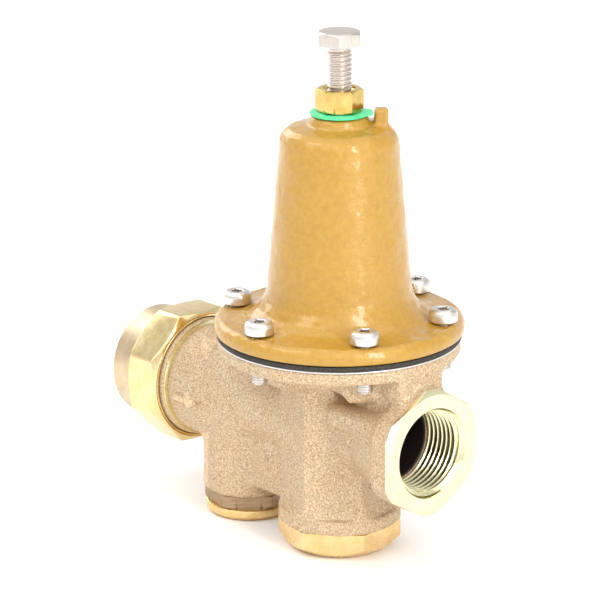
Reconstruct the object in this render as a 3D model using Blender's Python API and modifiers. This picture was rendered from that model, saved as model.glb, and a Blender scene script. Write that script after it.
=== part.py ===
"""A direct-acting water pressure reducing valve with a union inlet, built as its separate pieces.

The frame: +Z is up along the adjusting screw, +X is the flow, and the origin is the middle of the
bottom plug's flat end, which the valve stands on. Sizes below are in millimetres, and MM turns them
into Blender's metres where a mesh is made.
"""

from math import cos, pi, radians, sin

import bmesh
import bpy
from mathutils import Matrix, Vector

MM = 0.001
GAP = 0.25  # between pieces that touch
FINE, COARSE = 44, 24  # sides of a large and of a small round

# Driving dimensions: the two axes, the ports and the flange joint.
PORT_Z = 39.0  # height of the flow axis
OUTLET_X = 40.5  # face of the outlet hexagon
PORT_R = 12.9  # thread of a 3/4 inch port
PORT_DEPTH = 14.5
PASSAGE_R = 9.0
INLET_X = -69.0  # end of the threaded inlet spigot
INLET_R = 10.0
STRAINER_X = -41.5  # axis of the strainer chamber
JOINT_Z = 66.0  # machined top of the body's flange
FLANGE_R = 36.7
BELL_FLANGE_R = 38.0

# Flange screws.
SCREW_COUNT = 6
SCREW_CIRCLE_R = 32.5
SCREW_R = 2.5
SCREW_HEAD_R, SCREW_HEAD_H = 4.4, 3.6
SCREW_TIP_Z = 58.3
SCREW_HOLE_R = SCREW_R + 0.3

# Adjusting screw, a 5/16-18 hexagon screw 1 1/2 inch long, and its locknut.
ADJUSTER_R = 3.97
ADJUSTER_FLATS, LOCKNUT_FLATS = 12.1, 12.7
ADJUSTER_LENGTH = 37.8
ADJUSTER_HEAD_Z = 156.6
ADJUSTER_HEAD_H = 4.1
ADJUSTER_HOLE_R = ADJUSTER_R + 0.28
LOCKNUT_Z, LOCKNUT_H = 136.75, 6.75

# Spring housing, or bell.
BELL_Z = JOINT_Z + 2.4  # underside of its flange
BELL_FLANGE_TOP = 73.9
BELL_BASE_R, BELL_BASE_Z = 21.7, 82.5  # where the cone leaves the flare
BELL_TOP_R, BELL_TOP_Z = 17.6, 127.2  # where the cone meets the shoulder
SHOULDER_Z = 132.0
BOSS_Z = 135.2
BELL_WALL = 3.1

# Diaphragm stack, from the joint upwards and downwards.
RING_T = 0.5
DIAPHRAGM_Z, DIAPHRAGM_T = JOINT_Z + 0.7, 1.5
DIAPHRAGM_R = 37.2
BOWL_R, BOWL_Z = 25.0, 58.0
STEM_R = 2.7

# Range spring and the button that the screw presses on it.
SPRING_R, SPRING_WIRE_R = 11.7, 2.1
SPRING_TURNS = 6.5
BUTTON_Z = 117.3  # face that the spring bears on
BUTTON_R = 13.4

# Seat and poppet. At rest the poppet is open, and it closes by rising.
SEAT_Z = 28.3  # lip that the rubber disc closes on
SEAT_BORE_R = 6.2
POPPET_LIFT = 2.7
CHAMBER_R = 11.5
PARTITION = (29.6, 33.6)

# Main column and its plug.
COLUMN_FLATS, COLUMN_TURN, COLUMN_ROUND = 33.4, 40.0, 4.0
COLLAR_R, COLLAR_Z = 18.8, 8.5
PLUG_FLATS, PLUG_TURN, PLUG_END_R = 33.0, 40.0, 14.3
PLUG_SHANK_R = 12.7

# Strainer column and its plug.
STRAINER_COLUMN_R, STRAINER_Z = 14.3, 7.8
STRAINER_BORE_R = 10.2
SCREEN_R = 8.3
STRAINER_PLUG_FLATS, STRAINER_PLUG_TURN = 24.6, 48.0

# Union at the inlet.
BARREL_R = 17.5
SPIGOT_R = 19.05
UNION_FLATS = 42.0
UNION_FRONT_X, UNION_BACK_X = -62.6, -76.0
TAIL_END_X = -87.4
TAIL_R, TAIL_FLANGE_R = 18.0, 18.85


# ---------------------------------------------------------------- helpers


def clear_scene():
    for item in list(bpy.data.objects):
        bpy.data.objects.remove(item)


def collection(name):
    made = bpy.data.collections.new(name)
    bpy.context.scene.collection.children.link(made)
    return made


def material(name, colour, roughness, metallic):
    made = bpy.data.materials.new(name)
    made.use_nodes = True
    shader = made.node_tree.nodes["Principled BSDF"]
    shader.inputs["Base Color"].default_value = (*colour, 1.0)
    shader.inputs["Roughness"].default_value = roughness
    shader.inputs["Metallic"].default_value = metallic
    return made


def add_object(name, data, finish=None):
    """A new object in the valve's collection, or, with no finish, a hidden tool for a Boolean."""
    item = bpy.data.objects.new(name, data)
    if finish is None:
        item.hide_render = True
        item.display_type = "WIRE"
        TOOLS.objects.link(item)
    else:
        data.materials.append(finish)
        VALVE.objects.link(item)
    return item


def lay_along_flow(item):
    """Turns a piece modelled about Z so that its Z is the flow axis, +X."""
    item.rotation_euler = (0.0, pi / 2, 0.0)
    item.location = (0.0, 0.0, PORT_Z * MM)
    return item


def arc(centre, radius, start, end, count):
    """Points of an arc in the profile plane, with angles in degrees from outwards to upwards."""
    angles = [radians(start + (end - start) * i / count) for i in range(count + 1)]
    return [(centre[0] + radius * cos(a), centre[1] + radius * sin(a)) for a in angles]


def turned(name, profile, finish=None, steps=COARSE):
    """A solid of revolution about Z. The profile (radius, height) runs down its outer side."""
    mesh = bpy.data.meshes.new(name)
    points = [(radius * MM, 0.0, height * MM) for radius, height in profile]
    on_axis = profile[0][0] == 0 and profile[-1][0] == 0
    edges = [(i, i + 1) for i in range(len(points) - 1)]
    if not on_axis:
        edges.append((len(points) - 1, 0))
    mesh.from_pydata(points, edges, [])
    item = add_object(name, mesh, finish)
    screw = item.modifiers.new("turn", "SCREW")
    screw.steps = screw.render_steps = steps
    screw.use_merge_vertices = True
    screw.merge_threshold = 0.00001
    screw.use_smooth_shade = False
    return item


def ring(name, outer, inner, bottom, top, finish=None, steps=COARSE):
    """A plain turned ring or bush."""
    return turned(name, [(outer, top), (outer, bottom), (inner, bottom), (inner, top)], finish, steps)


def rod(name, radius, bottom, top, finish=None, steps=COARSE):
    """A plain turned cylinder."""
    return turned(name, [(0, top), (radius, top), (radius, bottom), (0, bottom)], finish, steps)


def torus(name, radius, thickness_r, height, finish, sides=6):
    """A ring of round section, such as an O-ring, lying flat."""
    section = [(radius + thickness_r * cos(2 * pi * i / sides), height - thickness_r * sin(2 * pi * i / sides))
               for i in range(sides)]
    return turned(name, section, finish)


def prism(name, sides, flats, bottom, top, finish=None, turn=0.0):
    """A regular prism about Z of that size across its flats, with a corner at turn degrees from +X."""
    shape = bmesh.new()
    radius = flats / 2 / cos(pi / sides) * MM
    place = Matrix.Translation((0, 0, (bottom + top) / 2 * MM)) @ Matrix.Rotation(radians(turn) - pi / 2, 4, "Z")
    bmesh.ops.create_cone(shape, cap_ends=True, segments=sides, radius1=radius, radius2=radius,
                          depth=(top - bottom) * MM, matrix=place)
    mesh = bpy.data.meshes.new(name)
    shape.to_mesh(mesh)
    shape.free()
    return add_object(name, mesh, finish)


def block(name, low, high, finish=None, edge=0.0):
    """A box between two corners, with its upright edges rounded."""
    shape = bmesh.new()
    size = [(b - a) * MM for a, b in zip(low, high)]
    middle = Vector([(a + b) / 2 * MM for a, b in zip(low, high)])
    bmesh.ops.create_cube(shape, size=1.0, matrix=Matrix.Translation(middle) @ Matrix.Diagonal((*size, 1.0)))
    if edge:
        upright = [e for e in shape.edges if abs(e.verts[0].co.z - e.verts[1].co.z) > size[2] / 2]
        bmesh.ops.bevel(shape, geom=upright, offset=edge * MM, segments=4, profile=0.5, affect="EDGES")
    mesh = bpy.data.meshes.new(name)
    shape.to_mesh(mesh)
    shape.free()
    return add_object(name, mesh, finish)


def boolean(target, operation, *tools):
    for tool in tools:
        modifier = target.modifiers.new(f"{operation} {tool.name}", "BOOLEAN")
        modifier.operation = operation
        modifier.solver = "EXACT"
        modifier.object = tool
    return target


def frozen_mesh(item):
    """The evaluated mesh of an object made only to be copied. The object and its tools go."""
    bpy.context.view_layer.update()
    mesh = bpy.data.meshes.new_from_object(item.evaluated_get(bpy.context.evaluated_depsgraph_get()))
    tools = [m.object for m in item.modifiers if m.type == "BOOLEAN"]
    for used in [item, *tools]:
        bpy.data.objects.remove(used)
    return mesh


def around(radius, count, start=0.0):
    """Centres of holes or screws evenly spaced on a circle, as (x, y)."""
    angles = [radians(start + 360 / count * i) for i in range(count)]
    return [(radius * cos(a), radius * sin(a)) for a in angles]


def drill(target, centres, radius, bottom, top, steps=10):
    """Cuts one round hole along Z at each centre."""
    for number, (x, y) in enumerate(centres, 1):
        bit = rod(f"{target.name}_drill_{number}", radius, bottom, top, steps=steps)
        bit.location = (x * MM, y * MM, 0.0)
        bit.rotation_euler.z = radians(11)
        boolean(target, "DIFFERENCE", bit)


def coil(name, radius, wire_r, bottom, top, turns, finish, points_per_turn=12):
    """A compression spring with a closed turn at each end, as a curve of round section."""
    closed_pitch = 2 * wire_r + 0.3
    low, high = bottom + wire_r, top - wire_r
    open_pitch = (high - low - 2 * closed_pitch) / (turns - 2)
    curve = bpy.data.curves.new(name, "CURVE")
    curve.dimensions = "3D"
    curve.bevel_depth = wire_r * MM
    curve.bevel_resolution = 2
    curve.use_fill_caps = True
    count = int(turns * points_per_turn) + 1
    spline = curve.splines.new("POLY")
    spline.points.add(count - 1)
    for i in range(count):
        turn = i / points_per_turn
        if turn < 1:
            height = low + closed_pitch * turn
        elif turn < turns - 1:
            height = low + closed_pitch + open_pitch * (turn - 1)
        else:
            height = high - closed_pitch * (turns - turn)
        angle = 2 * pi * turn
        spline.points[i].co = (radius * cos(angle) * MM, radius * sin(angle) * MM, height * MM, 1.0)
    return add_object(name, curve, finish)


# ---------------------------------------------------------------- body and its fixed pieces


def cast_forms():
    """The solids that the body casting is the union of, apart from its flange."""
    hub = turned("hub", [(0, 62.5), (33.0, 62.5), (33.0, 61.6), *arc((31.8, 58.6), 3.0, 90, 180, 3),
                         (28.4, 55.4), (27.2, 53.6), (19.0, 52.0), (14.0, 50.6), (0, 50.6)], steps=FINE)
    column = prism("column", 6, COLUMN_FLATS, COLLAR_Z + 1.0, 54.0, turn=COLUMN_TURN)
    column.modifiers.new("round the corners", "BEVEL").width = COLUMN_ROUND * MM
    column.modifiers[0].segments = 4
    column.modifiers[0].limit_method = "ANGLE"
    column.modifiers[0].angle_limit = radians(40)
    collar = turned("collar", [(0, 12.0), (18.0, 12.0), (COLLAR_R, 11.0), (COLLAR_R, COLLAR_Z), (0, COLLAR_Z)],
                    steps=FINE)
    barrel = lay_along_flow(turned("barrel", [
        (0, -3.0), (13.7, -3.0), (13.7, -37.0), (15.0, -42.0), (BARREL_R, -46.0), (BARREL_R, -60.2), (SPIGOT_R - 0.5, -60.6), (SPIGOT_R, -61.4),
        (SPIGOT_R, INLET_X + 0.8), (SPIGOT_R - 0.8, INLET_X), (0, INLET_X)], steps=FINE))
    strainer = turned("strainer_column", [(0, 55.0), (STRAINER_COLUMN_R - 3, 55.0), (STRAINER_COLUMN_R, 52.0),
                                          *arc((STRAINER_COLUMN_R - 1.4, STRAINER_Z + 1.4), 1.4, 0, -90, 3),
                                          (0, STRAINER_Z)], steps=FINE)
    strainer.location.x = STRAINER_X * MM
    neck = lay_along_flow(turned("neck", [(0, 34.0), (17.2, 34.0), (17.2, 30.0), (13.4, 19.5), (13.4, 2.0), (0, 2.0)],
                                 steps=FINE))
    port = lay_along_flow(prism("port_hexagon", 6, 36.6, 31.0, OUTLET_X))
    port_blank = lay_along_flow(turned("port_blank", [(0, OUTLET_X + 1), (18.6, OUTLET_X + 1), (18.6, OUTLET_X),
                                                      (21.6, OUTLET_X - 1.6), (21.6, 20.0), (0, 20.0)]))
    boolean(port, "INTERSECT", port_blank)
    web = block("port_web", (18.0, -9.0, 50.0), (37.4, 9.0, 63.0), edge=4.0)
    cheek = block("strainer_web", (STRAINER_X, -9.6, 12.0), (-8.0, 9.6, 45.0), edge=1.5)
    saddle = block("inlet_gusset", (-44.0, -7.0, 45.0), (-12.0, 7.0, 63.0), edge=3.0)
    return [hub, column, collar, barrel, strainer, neck, port, web, cheek, saddle]


def body_cavities():
    """The machined bores and cored passages, as cutters."""
    low, high = PARTITION
    well = turned("main_bore", [
        (0, 54.0), (CHAMBER_R, 54.0), (CHAMBER_R, high), (8.8, high), (8.8, low), (CHAMBER_R, low),
        (CHAMBER_R, 18.5), (13.0, 17.0), (13.0, 10.5), (15.0, 10.5), (15.0, 5.0), (0, 5.0)], steps=COARSE)
    bowl = turned("diaphragm_bowl", [(0, 70.0), (BOWL_R, 70.0), (BOWL_R, BOWL_Z + 2), (BOWL_R - 2, BOWL_Z),
                                     (0, BOWL_Z)], steps=FINE)
    guide = rod("stem_guide_bore", STEM_R + 0.35, 50.0, 62.0, steps=16)
    sensing = rod("sensing_port", 1.6, 50.0, 62.0, steps=12)
    sensing.location.x = 9.0 * MM
    outlet = lay_along_flow(turned("outlet_bore", [
        (0, OUTLET_X + 5), (PORT_R + 1.0, OUTLET_X + 5), (PORT_R + 1.0, OUTLET_X), (PORT_R, OUTLET_X - 1.0),
        (PORT_R - 0.3, OUTLET_X - PORT_DEPTH), (PASSAGE_R, OUTLET_X - PORT_DEPTH - 2.0), (PASSAGE_R, 2.0),
        (0, 2.0)], steps=COARSE))
    inlet = lay_along_flow(rod("inlet_bore", INLET_R, INLET_X - 5, STRAINER_X, steps=COARSE))
    chamber = turned("strainer_bore", [
        (0, 49.5), (9.0, 49.5), (9.0, 30.0), (STRAINER_BORE_R, 28.8), (STRAINER_BORE_R, 9.5), (12.0, 9.5),
        (12.0, 2.0), (0, 2.0)], steps=COARSE)
    chamber.location.x = STRAINER_X * MM
    crossings = []
    for side in (-1, 1):
        crossing = lay_along_flow(rod(f"crossing_passage_{side}", 3.1, STRAINER_X + 7.5, -8.5, steps=12))
        crossing.location = (0.0, side * 4.9 * MM, 27.6 * MM)
        crossings.append(crossing)
    return [well, bowl, guide, sensing, outlet, inlet, chamber, *crossings]


def flow_arrow():
    """The raised arrow on the inlet barrel's near side, pointing along the flow."""
    outline = [(-5.0, -1.0), (0.4, -1.0), (0.4, -3.2), (5.0, 0.0), (0.4, 3.2), (0.4, 1.0), (-5.0, 1.0)]
    curve = bpy.data.curves.new("flow_arrow_outline", "CURVE")
    curve.dimensions = "2D"
    curve.fill_mode = "BOTH"
    curve.extrude = 2.0 * MM
    spline = curve.splines.new("POLY")
    spline.points.add(len(outline) - 1)
    for point, (x, y) in zip(spline.points, outline):
        point.co = (x * MM, y * MM, 0.0, 1.0)
    spline.use_cyclic_u = True
    drawn = add_object("flow_arrow_outline", curve)
    drawn.rotation_euler = (pi / 2, 0.0, 0.0)
    drawn.location = (-49.0 * MM, -(BARREL_R - 1.2) * MM, PORT_Z * MM)
    bpy.context.view_layer.update()
    solid = bmesh.new()
    evaluated = drawn.evaluated_get(bpy.context.evaluated_depsgraph_get())
    mesh = bpy.data.meshes.new_from_object(evaluated)
    solid.from_mesh(mesh)
    bmesh.ops.remove_doubles(solid, verts=solid.verts, dist=0.00001)
    solid.to_mesh(mesh)
    solid.free()
    mesh.materials.clear()
    place = drawn.matrix_world.copy()
    bpy.data.objects.remove(drawn)
    made = add_object("flow_arrow", mesh)
    made.matrix_world = place
    return made


def make_body(bronze):
    body = turned("valve_body", [
        (0, JOINT_Z), (FLANGE_R - 0.4, JOINT_Z), (FLANGE_R, JOINT_Z - 0.4), (FLANGE_R, JOINT_Z - 3.4),
        (FLANGE_R - 0.8, JOINT_Z - 4.2), (0, JOINT_Z - 4.2)], bronze, FINE)
    boolean(body, "UNION", *cast_forms(), flow_arrow())
    boolean(body, "DIFFERENCE", *body_cavities())
    drill(body, around(SCREW_CIRCLE_R, SCREW_COUNT, 30), SCREW_HOLE_R, 50.0, 70.0)
    return body


def make_bottom_plug(brass, rubber):
    plug = prism("bottom_plug", 6, PLUG_FLATS, 0.0, COLLAR_Z - GAP, brass, PLUG_TURN)
    corner = PLUG_FLATS / 2 / cos(pi / 6)
    blank = turned("plug_blank", [(0, 8.0), (corner + 1, 8.0), (corner + 1, 0.7 * (corner + 1 - PLUG_END_R)),
                                  (PLUG_END_R, 0.0), (PLUG_END_R - 1, -0.7), (0, -0.7)], steps=FINE)
    shank = rod("plug_shank", PLUG_SHANK_R, 5.0, 16.5)
    well = rod("plug_well", 9.2, 4.6, 20.0)
    boolean(plug, "INTERSECT", blank)
    boolean(plug, "UNION", shank)
    boolean(plug, "DIFFERENCE", well)
    torus("bottom_plug_oring", 13.85, 0.75, COLLAR_Z + 1.0, rubber)


def make_strainer(bronze, steel, rubber):
    screen = ring("strainer_screen", SCREEN_R, SCREEN_R - 0.5, 6.6, 30.4, steel)
    screen.location.x = STRAINER_X * MM
    plug = prism("strainer_plug", 6, STRAINER_PLUG_FLATS, 0.0, STRAINER_Z - GAP, bronze, STRAINER_PLUG_TURN)
    blank = turned("strainer_plug_blank", [(0, 9.0), (15.0, 9.0), (15.0, 4.6), (13.2, 3.5), (12.1, 3.5), (12.1, 0.0), (0, 0.0)],
                   steps=FINE)
    shank = rod("strainer_plug_shank", STRAINER_BORE_R - 0.25, 5.0, 12.5)
    well = rod("strainer_plug_well", SCREEN_R + 0.3, 6.3, 15.0)
    boolean(plug, "INTERSECT", blank)
    boolean(plug, "UNION", shank)
    boolean(plug, "DIFFERENCE", well)
    for item in (plug, blank, shank, well):
        item.location.x = STRAINER_X * MM
    torus("strainer_plug_oring", 11.1, 0.65, 8.65, rubber).location.x = STRAINER_X * MM


def make_seat(steel, rubber):
    turned("seat_ring", [(10.4, 37.2), (10.4, 35.3), (8.5, 35.3), (8.5, 29.2), (7.0, 29.2), (7.0, SEAT_Z),
                         (SEAT_BORE_R, SEAT_Z), (SEAT_BORE_R, 37.2)], steel)
    torus("seat_oring", 9.45, 0.65, 34.45, rubber)


# ---------------------------------------------------------------- spring housing and its screws


def bell_profile():
    """Outer side from the boss down to the flange, then the inner side back up."""
    shoulder = arc((BELL_TOP_R - 5.4, SHOULDER_Z - 5.2), 5.2, 90, 5, 4)
    flare = arc((BELL_BASE_R + 7.4, BELL_FLANGE_TOP + 7.4), 7.4, 180, 265, 5)
    rim = arc((BELL_FLANGE_R - 2.2, BELL_FLANGE_TOP - 2.8), 2.2, 80, 0, 3)
    outer = [(8.3, BOSS_Z), (8.9, BOSS_Z - 0.7), (9.4, 133.6), (10.2, 132.5), (11.4, SHOULDER_Z), *shoulder,
             (BELL_BASE_R, BELL_BASE_Z), *flare, (34.6, BELL_FLANGE_TOP - 0.2), *rim,
             (BELL_FLANGE_R, BELL_Z + 0.6), (BELL_FLANGE_R - 0.6, BELL_Z)]
    inner = [(24.6, BELL_Z), (24.2, 72.4), (BELL_BASE_R - BELL_WALL, 79.5), (BELL_TOP_R - BELL_WALL, 125.8),
             (BELL_TOP_R - BELL_WALL - 1.6, 127.6), (ADJUSTER_HOLE_R, 128.2), (ADJUSTER_HOLE_R, BOSS_Z)]
    return outer + inner


def make_bell(paint):
    bell = turned("bell_housing", bell_profile(), paint, FINE)
    lug = block("seal_lug", (10.3, -2.6, 128.0), (14.6, 2.6, 137.6), edge=0.8)
    lug.rotation_euler.z = radians(LUG_ANGLE)
    boolean(bell, "UNION", lug)
    drill(bell, around(SCREW_CIRCLE_R, SCREW_COUNT, 30), SCREW_HOLE_R, 60.0, 90.0)


LUG_ANGLE = 48.0


def flange_screw_mesh(steel):
    head = BELL_FLANGE_TOP + GAP
    screw = turned("screw_pattern", [
        (0, head + SCREW_HEAD_H), (3.2, head + SCREW_HEAD_H), (4.1, head + SCREW_HEAD_H - 0.7),
        (SCREW_HEAD_R, head + SCREW_HEAD_H - 1.7), (SCREW_HEAD_R, head + 0.2), (SCREW_HEAD_R - 0.2, head),
        (SCREW_R, head), (SCREW_R, SCREW_TIP_Z + 0.6), (SCREW_R - 0.6, SCREW_TIP_Z), (0, SCREW_TIP_Z)],
        steel, 14)
    socket = prism("socket", 6, 3.3, head + SCREW_HEAD_H - 2.0, head + SCREW_HEAD_H + 1)
    boolean(screw, "DIFFERENCE", socket)
    return frozen_mesh(screw)


def make_flange_screws(steel):
    mesh = flange_screw_mesh(steel)
    for number, (x, y) in enumerate(around(SCREW_CIRCLE_R, SCREW_COUNT, 30), 1):
        screw = bpy.data.objects.new(f"flange_screw_{number}", mesh)
        screw.location = (x * MM, y * MM, 0.0)
        VALVE.objects.link(screw)


# ---------------------------------------------------------------- adjuster


def make_adjuster(steel, brass, green):
    head_top = ADJUSTER_HEAD_Z + ADJUSTER_HEAD_H
    tip = ADJUSTER_HEAD_Z - ADJUSTER_LENGTH
    screw = prism("adjusting_screw", 6, ADJUSTER_FLATS, ADJUSTER_HEAD_Z, head_top, steel, ADJUSTER_TURN)
    blank = turned("adjuster_blank", [(0, head_top), (5.9, head_top), (7.6, head_top - 1.0),
                                      (7.6, ADJUSTER_HEAD_Z - 1), (0, ADJUSTER_HEAD_Z - 1)])
    shank = turned("adjuster_shank", [(0, ADJUSTER_HEAD_Z + 1), (ADJUSTER_R, ADJUSTER_HEAD_Z + 1),
                                      (ADJUSTER_R, tip + 1.0), (ADJUSTER_R - 1.0, tip), (0, tip)], steps=24)
    boolean(screw, "INTERSECT", blank)
    boolean(screw, "UNION", shank)

    top = LOCKNUT_Z + LOCKNUT_H
    nut = prism("locknut", 6, LOCKNUT_FLATS, LOCKNUT_Z, top, brass, LOCKNUT_TURN)
    nut_blank = turned("locknut_blank", [(0, top), (6.0, top), (7.6, top - 0.9), (7.6, LOCKNUT_Z + 0.6),
                                         (6.8, LOCKNUT_Z), (0, LOCKNUT_Z)])
    bore = rod("locknut_bore", ADJUSTER_HOLE_R, LOCKNUT_Z - 1, top + 1, steps=24)
    boolean(nut, "INTERSECT", nut_blank)
    boolean(nut, "DIFFERENCE", bore)

    washer = ring("seal_washer", 8.9, ADJUSTER_HOLE_R, BOSS_Z + GAP, LOCKNUT_Z - GAP, green)
    tab = block("washer_tab", (6.0, -3.0, BOSS_Z + GAP), (9.9, 3.0, LOCKNUT_Z - GAP), edge=0.6)
    tab.rotation_euler.z = radians(LUG_ANGLE)
    boolean(washer, "UNION", tab)


ADJUSTER_TURN = 17.0
LOCKNUT_TURN = -13.0


def make_range_spring(steel, wire):
    turned("spring_button", [
        (0, BUTTON_Z + 1.25), (3.8, BUTTON_Z + 1.25), (5.0, BUTTON_Z + 3.4), (BUTTON_R - 0.6, BUTTON_Z + 3.4),
        (BUTTON_R, BUTTON_Z + 2.8), (BUTTON_R, BUTTON_Z), (8.9, BUTTON_Z), (8.4, BUTTON_Z - 3.4),
        (0, BUTTON_Z - 3.4)], steel)
    coil("range_spring", SPRING_R, SPRING_WIRE_R, PLATE_TOP + GAP, BUTTON_Z - GAP, SPRING_TURNS, wire)


PLATE_TOP = DIAPHRAGM_Z + DIAPHRAGM_T + GAP + 2.0


# ---------------------------------------------------------------- diaphragm and poppet


def make_diaphragm(steel, rubber):
    slip = ring("friction_ring", FLANGE_R + 0.2, BOWL_R + 0.5, JOINT_Z + 0.1, JOINT_Z + 0.1 + RING_T, steel, FINE)
    roll_r, roll_middle = 2.6, 21.6
    low, high = DIAPHRAGM_Z, DIAPHRAGM_Z + DIAPHRAGM_T
    over = arc((roll_middle, high), roll_r, 0, 180, 6)
    under = arc((roll_middle, low), roll_r - DIAPHRAGM_T / 2, 180, 0, 6)
    sheet = turned("diaphragm", [(STEM_R + 0.3, low), (STEM_R + 0.3, high), *over[::-1], (DIAPHRAGM_R, high),
                                 (DIAPHRAGM_R, low), *under[::-1]], rubber, FINE)
    for item in (slip, sheet):
        drill(item, around(SCREW_CIRCLE_R, SCREW_COUNT, 30), SCREW_HOLE_R, 60.0, 75.0)


def make_poppet(steel, brass, rubber):
    above = DIAPHRAGM_Z + DIAPHRAGM_T + GAP
    below = DIAPHRAGM_Z - GAP
    turned("diaphragm_plate", [(7.6, above + 4.6), (8.6, PLATE_TOP), (17.6, PLATE_TOP), (18.4, above + 1.2),
                               (18.4, above), (STEM_R + 0.3, above), (STEM_R + 0.3, above + 4.6)], brass)
    ring("diaphragm_washer", 17.0, STEM_R + 0.3, below - 1.8, below, brass)
    nut = prism("diaphragm_nut", 6, 10.0, above + 4.6 + GAP, above + 9.0, steel)
    boolean(nut, "DIFFERENCE", rod("diaphragm_nut_bore", STEM_R + 0.25, 60.0, 90.0, steps=16))

    disc_top = SEAT_Z - POPPET_LIFT
    turned("stem", [(0, above + 11.0), (STEM_R - 0.5, above + 11.0), (STEM_R, above + 10.4), (STEM_R, below - 1.8 - GAP),
                    (4.2, below - 1.8 - GAP), (4.2, below - 4.0), (STEM_R, below - 4.6), (STEM_R, disc_top + 2.0),
                    (4.6, disc_top + 1.6), (4.6, disc_top + GAP), (STEM_R, disc_top + GAP), (STEM_R, 16.2),
                    (STEM_R - 0.5, 15.6), (0, 15.6)], steel, 24)
    ring("seat_disc", 7.4, STEM_R + 0.3, disc_top - 2.1, disc_top, rubber)
    turned("disc_holder", [(8.9, disc_top - 0.5), (8.9, disc_top - 4.6), (7.9, disc_top - 5.2),
                           (STEM_R + 0.25, disc_top - 5.2), (STEM_R + 0.25, disc_top - 2.1 - GAP),
                           (7.65, disc_top - 2.1 - GAP), (7.65, disc_top - 0.5)], brass)
    nut_top = disc_top - 5.2 - GAP
    disc_nut = prism("disc_nut", 6, 8.0, nut_top - 3.2, nut_top, steel)
    boolean(disc_nut, "DIFFERENCE", rod("disc_nut_bore", STEM_R + 0.25, 10.0, 30.0, steps=16))


def make_bottom_spring(wire):
    coil("bottom_spring", 6.6, 0.7, 4.6 + GAP, SEAT_Z - POPPET_LIFT - 5.2 - GAP, 6.5, wire)


# ---------------------------------------------------------------- union


def make_union(brass, bronze, fibre):
    front, back = UNION_FRONT_X, UNION_BACK_X
    nut = lay_along_flow(prism("union_nut", 8, UNION_FLATS, back, front, brass, 22.5))
    nut_blank = turned("union_blank", [(0, front), (20.9, front), (23.2, front - 1.5), (23.2, back + 1.2),
                                       (21.2, back), (0, back)], steps=FINE)
    bore = turned("union_bore", [(0, front + 1), (20.2, front + 1), (20.2, front), (SPIGOT_R + 0.25, front - 0.9),
                                 (SPIGOT_R + 0.25, TAIL_FLANGE_BACK - GAP), (TAIL_R + 0.3, TAIL_FLANGE_BACK - GAP),
                                 (TAIL_R + 0.3, back - 1), (0, back - 1)], steps=FINE)
    boolean(nut, "INTERSECT", lay_along_flow(nut_blank))
    boolean(nut, "DIFFERENCE", lay_along_flow(bore))
    gasket = INLET_X - GAP
    lay_along_flow(ring("union_gasket", 17.8, 11.5, gasket - 1.6, gasket, fibre, FINE))
    face = gasket - 1.6 - GAP
    lay_along_flow(turned("union_tailpiece", [
        (TAIL_FLANGE_R, face), (TAIL_FLANGE_R, TAIL_FLANGE_BACK), (TAIL_R, TAIL_FLANGE_BACK),
        (TAIL_R, TAIL_END_X + 1.0), (TAIL_R - 1.0, TAIL_END_X), (PORT_R + 1.0, TAIL_END_X),
        (PORT_R, TAIL_END_X + 1.0), (PORT_R - 0.3, TAIL_END_X + 12.0), (INLET_R, TAIL_END_X + 13.5),
        (INLET_R, face)], bronze, FINE))


TAIL_FLANGE_BACK = INLET_X - 2 * GAP - 1.6 - 2.0


# ---------------------------------------------------------------- assembly

clear_scene()
VALVE = collection("pressure_reducing_valve")
TOOLS = collection("cutters")
CAST_BRONZE = material("cast bronze", (0.60, 0.42, 0.26), 0.55, 0.85)
MACHINED_BRASS = material("machined brass", (0.86, 0.64, 0.26), 0.25, 1.0)
GOLD_PAINT = material("gold paint", (0.78, 0.47, 0.09), 0.40, 0.15)
STAINLESS = material("stainless steel", (0.72, 0.70, 0.67), 0.28, 1.0)
SPRING_STEEL = material("spring steel", (0.36, 0.37, 0.39), 0.35, 1.0)
BLACK_RUBBER = material("black rubber", (0.03, 0.03, 0.03), 0.80, 0.0)
GREEN_PLASTIC = material("green plastic", (0.12, 0.78, 0.38), 0.35, 0.0)
RED_FIBRE = material("red fibre", (0.40, 0.10, 0.07), 0.85, 0.0)

make_body(CAST_BRONZE)
make_bottom_plug(MACHINED_BRASS, BLACK_RUBBER)
make_strainer(CAST_BRONZE, STAINLESS, BLACK_RUBBER)
make_seat(STAINLESS, BLACK_RUBBER)
make_bell(GOLD_PAINT)
make_flange_screws(STAINLESS)
make_adjuster(STAINLESS, MACHINED_BRASS, GREEN_PLASTIC)
make_range_spring(STAINLESS, SPRING_STEEL)
make_diaphragm(STAINLESS, BLACK_RUBBER)
make_poppet(STAINLESS, MACHINED_BRASS, BLACK_RUBBER)
make_bottom_spring(SPRING_STEEL)
make_union(MACHINED_BRASS, CAST_BRONZE, RED_FIBRE)
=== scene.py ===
"""The looks of the pressure reducing valve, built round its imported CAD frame.

Lengths in this file are in millimetres and M turns them into Blender's metres. The frame is the CAD's:
+Z up the adjusting screw, +X the flow, origin under the bottom plug.
"""

from math import cos, pi, radians, sin, tan

import bmesh
import bpy
import numpy as np
import openvdb
from mathutils import Matrix, Vector


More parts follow.
